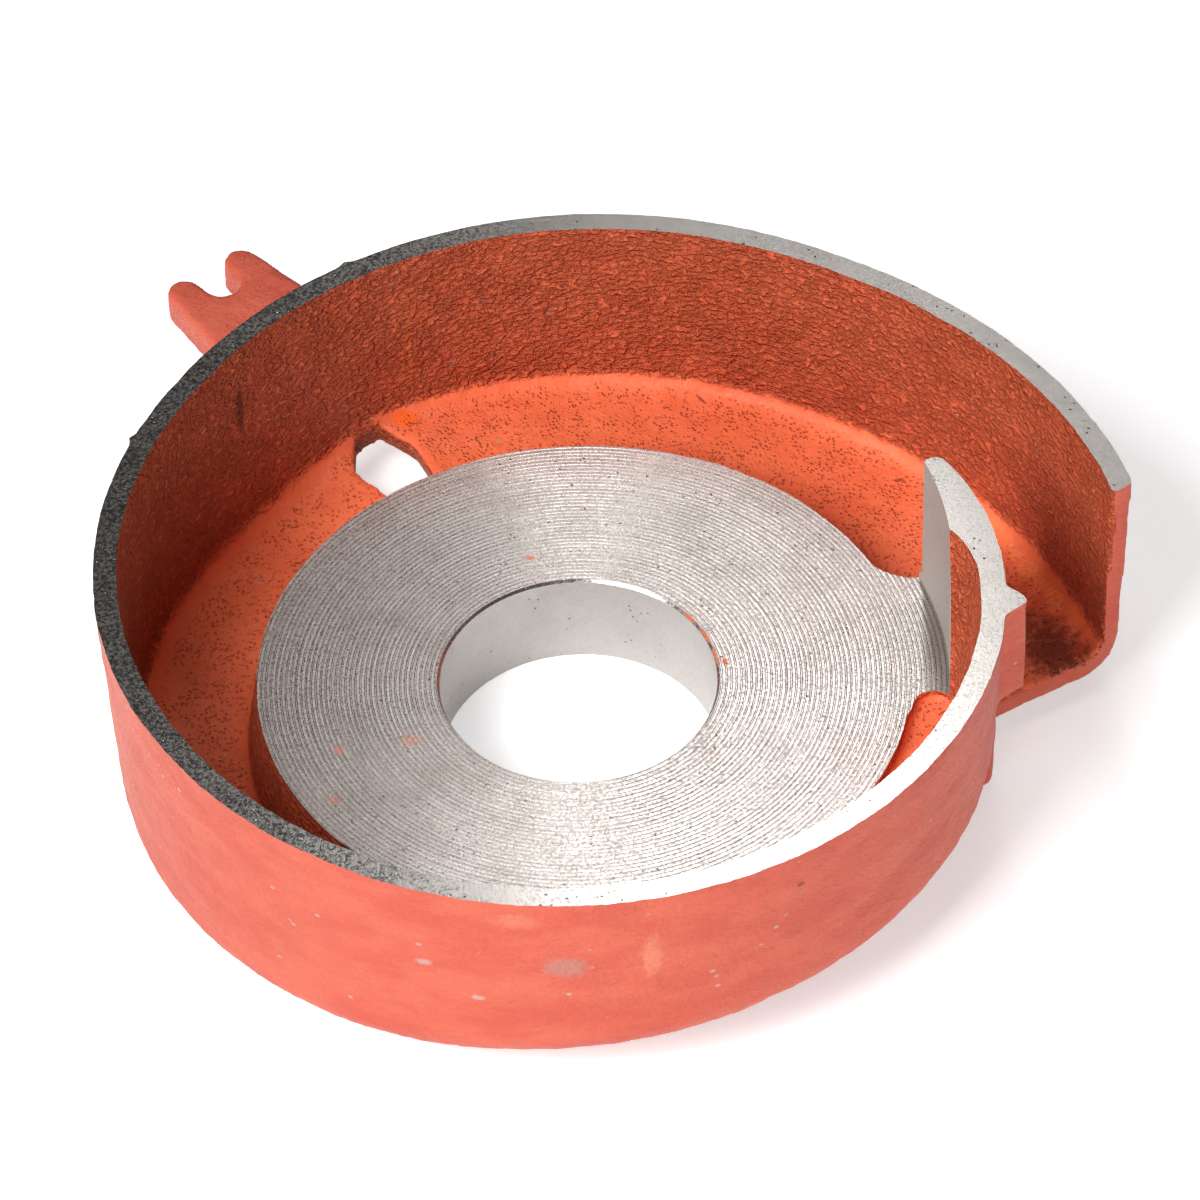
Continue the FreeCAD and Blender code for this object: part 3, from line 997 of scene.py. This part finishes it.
@dataclass
class Studio:
    """Floor, lamps, world and camera."""

    floor_side: float = 6.0
    pitch: float = 45.24
    roll: float = -1.64
    lens_pixels: float = 7001.0
    sensor: float = 36.0
    eye: Place = (0.0055, -1.1217, 1.1815)
    sight: float = 20.0
    room_light: float = 0.05
    floor_grey: float = 0.95
    floor_glow: float = 0.5

    def camera(self) -> None:
        """Place the camera as the photograph's was."""
        lens = bpy.data.cameras.new("camera")
        lens.sensor_width = self.sensor
        lens.lens = self.lens_pixels / IMAGE_SIDE * self.sensor
        lens.clip_end = self.sight
        holder = bpy.data.objects.new("camera", lens)
        bpy.context.scene.collection.objects.link(holder)
        pitch, roll = math.radians(self.pitch), math.radians(self.roll)
        level = Vector((1.0, 0.0, 0.0))
        rise = Vector((0.0, math.sin(pitch), math.cos(pitch)))
        ahead = Vector((0.0, math.cos(pitch), -math.sin(pitch)))
        right = level * math.cos(roll) + rise * math.sin(roll)
        above = rise * math.cos(roll) - level * math.sin(roll)
        turn = Matrix((right, above, -ahead)).transposed()
        holder.matrix_world = Matrix.Translation(Vector(self.eye)) @ turn.to_4x4()
        bpy.context.scene.camera = holder

    def floor(self) -> None:
        """Lay the pale floor, which looks white where no shadow falls."""
        bpy.ops.object.select_all(action="DESELECT")
        bpy.ops.mesh.primitive_plane_add(size=self.floor_side, location=(0.0, 0.0, 0.0))
        floor = bpy.context.active_object
        floor.name = "floor"
        graph = Graph("pale_floor")
        path = graph.add("LightPath")
        seen = graph.math("MAXIMUM", path.outputs["Is Camera Ray"], path.outputs["Is Glossy Ray"])
        floor.data.materials.append(graph.finish({
            "Base Color": (self.floor_grey,) * 3,
            "Roughness": 1.0,
            "Specular IOR Level": 0.0,
            "Emission Color": (1.0, 1.0, 1.0),
            "Emission Strength": graph.times(seen, self.floor_glow),
        }))

    def world(self) -> None:
        """Fill the room with even dim light."""
        world = bpy.data.worlds.new("room")
        bpy.context.scene.world = world
        world.use_nodes = True
        background = world.node_tree.nodes["Background"]
        background.inputs["Color"].default_value = (1.0, 1.0, 1.0, 1.0)
        background.inputs["Strength"].default_value = self.room_light

    def build(self) -> None:
        """Set up the whole studio."""
        self.camera()
        self.floor()
        self.world()
        for lamp in LAMPS:
            lamp.hang()
        bpy.context.scene.view_settings.view_transform = "Standard"


def inside_marks() -> tuple[Mark, ...]:
    """List the channel's pool and run of paint, its dark streak, a painted shadow on the outlet's
    floor, its thick spray, crack and pit.
    """
    pool_by_port = Mark((-40.2, 96.9, 16.7), (3.6, 2.6, 3.0), FRESH_ORANGE, 0.85)
    run_down_wall = Mark((-38.5, 100.7, 36.0), (1.0, 4.0, 10.0), BRIGHT_ORANGE, 0.5)
    dark_streak = Mark((-77.9, 70.7, 45.3), (1.0, 4.0, 8.0), SOOT_AND_SHADOW)
    # painted shadow: the outlet floor under the tongue is darkened where shade falls
    painted_outlet_shadow = Mark((110.5, 18.0, 9.5), (18.0, 10.0, 6.0), SOOT_AND_SHADOW, 0.8, -62.0)
    spray_by_outlet = (
        Mark((101.5, 54.0, 13.4), (9.0, 1.8, 4.0), THICK_SPRAY, 0.8, -66.0),
        Mark((106.5, 43.7, 12.5), (9.0, 2.6, 4.0), THICK_SPRAY, 0.9, -62.0),
        Mark((112.5, 34.0, 12.2), (9.0, 2.0, 4.0), THICK_SPRAY, 0.9, -58.0),
        Mark((119.0, 22.5, 12.8), (10.0, 1.4, 4.0), THICK_SPRAY, 0.9, -61.0),
    )
    crack = Mark((31.5, 101.7, 15.3), (2.2, 0.5, 1.5), SOOT_AND_SHADOW, 0.8, -50.0)
    pit = Mark((77.9, 73.8, 13.7), (1.6, 0.8, 1.5), SOOT_AND_SHADOW)
    return (pool_by_port, run_down_wall, dark_streak, painted_outlet_shadow, *spray_by_outlet, crack, pit)


def outside_marks() -> tuple[Mark, ...]:
    """List the outer wall's rubbed patch, pale runs and chips."""
    rubbed = Mark((-4.2, -105.3, 43.1), (6.0, 4.0, 4.2), RUBBED_PATCH)
    run = Mark((14.6, -103.9, 45.0), (2.8, 3.0, 8.0), PALE_RUN, 0.25)
    run_at_rim = Mark((-14.9, -105.2, 58.4), (7.0, 3.0, 3.0), PALE_RUN, 0.15)
    wide_chip = Mark((-35.4, -99.4, 39.8), (2.2, 2.0, 1.3), CHIPPED_PAINT)
    dark_chip = Mark((47.3, -92.6, 53.9), (1.3, 1.5, 1.0), SOOT_AND_SHADOW)
    low_chip = Mark((-23.7, -102.4, 30.8), (1.8, 2.0, 0.9), CHIPPED_PAINT)
    return rubbed, run, run_at_rim, wide_chip, dark_chip, low_chip


def plate_marks() -> tuple[Mark, ...]:
    """List the paint on the turned face: along the bore's edge, a blob beside it and specks."""
    blob = Mark((33.9, 4.5, 24.7), (0.8, 1.4, 1.0), BRIGHT_ORANGE, 1.0)
    paint_on_edge = (
        Mark((26.0, 19.3, 24.4), (0.5, 3.6, 0.8), BRIGHT_ORANGE, 1.0, 36.0),
        Mark((29.6, 13.3, 24.4), (0.5, 3.6, 0.8), BRIGHT_ORANGE, 1.0, 24.0),
        Mark((31.8, 6.0, 24.4), (0.5, 3.6, 0.8), BRIGHT_ORANGE, 0.9, 11.0),
    )
    speck_behind_bore = Mark((-10.6, 40.0, 24.7), (1.5, 1.0, 1.0), BRIGHT_ORANGE, 0.8)
    specks_on_left = (
        Mark((-55.2, -20.3, 24.7), (1.3, 1.7, 1.0), BRIGHT_ORANGE, 0.6),
        Mark((-55.8, -35.9, 24.7), (2.0, 1.3, 1.0), BRIGHT_ORANGE, 0.5),
        Mark((-38.6, -17.8, 24.7), (3.2, 2.2, 1.0), BRIGHT_ORANGE, 0.4),
    )
    return (blob, *paint_on_edge, speck_behind_bore, *specks_on_left)


def finishes() -> tuple[Finishes, bpy.types.Material]:
    """Make every material of the casing.

    Returns:
        One material for each surface of the casting, and the turned plate's.
    """
    inside = PrimedIron(
        "primer_inside",
        bright=(0.92, 0.190, 0.080),
        plain=(0.84, 0.155, 0.062),
        deep=(0.28, 0.040, 0.020),
        pebble=1.7,
        pebble_depth=2.2,
        # painted shade between the pebbles
        painted_gap_shade=0.3,
        pore_depth=0.4,
        # painted shade on the channel walls
        painted_wall_shade=0.32,
        marks=inside_marks(),
    )
    outside = PrimedIron(
        "primer_outside",
        bright=(0.61, 0.125, 0.075),
        plain=(0.55, 0.092, 0.056),
        deep=(0.40, 0.06, 0.038),
        pebble=1.2,
        pebble_depth=0.12,
        # painted shade between the pebbles
        painted_gap_shade=0.12,
        pore_depth=0.1,
        chips=0.06,
        marks=outside_marks(),
    )
    rim = BareIron(
        "machined_rim",
        colour=(0.43, 0.405, 0.38),
        stain=(0.33, 0.305, 0.285),
        roughness=0.17,
        grain=0.008,
        specks=0.0,
    )
    tongue = BareIron(
        "turned_tongue",
        colour=(0.60, 0.55, 0.51),
        stain=(0.47, 0.43, 0.40),
        roughness=0.45,
        grain=0.02,
        specks=-0.1,
        metal=0.35,
    )
    bore = BareIron(
        "bored_wall",
        colour=(0.48, 0.45, 0.43),
        stain=(0.38, 0.35, 0.33),
        roughness=0.40,
        grain=0.02,
        specks=-0.1,
        metal=0.75,
    )
    plate = BareIron(
        "turned_face",
        colour=(0.66, 0.61, 0.58),
        stain=(0.38, 0.34, 0.31),
        roughness=0.25,
        grain=0.008,
        specks=0.04,
        rings=0.45,
        metal=0.95,
        marks=plate_marks(),
    )
    made = {
        Surface.INSIDE: inside.material(),
        Surface.OUTSIDE: outside.material(),
        Surface.RIM: rim.material(),
        Surface.TONGUE: tongue.material(),
        Surface.BORE: bore.material(),
    }
    return made, plate.material()


def main() -> None:
    """Build the casing and the studio, and report each piece."""
    logging.basicConfig(level=logging.INFO, format="%(message)s")
    surfaces, plate_finish = finishes()
    casting, slab = Casting().build(surfaces)
    plate = TurnedPlate().build(slab, plate_finish)
    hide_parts(NODE)
    for piece in (casting, plate):
        finish_piece(piece)
    Studio().build()


if __name__ == "__main__":
    main()
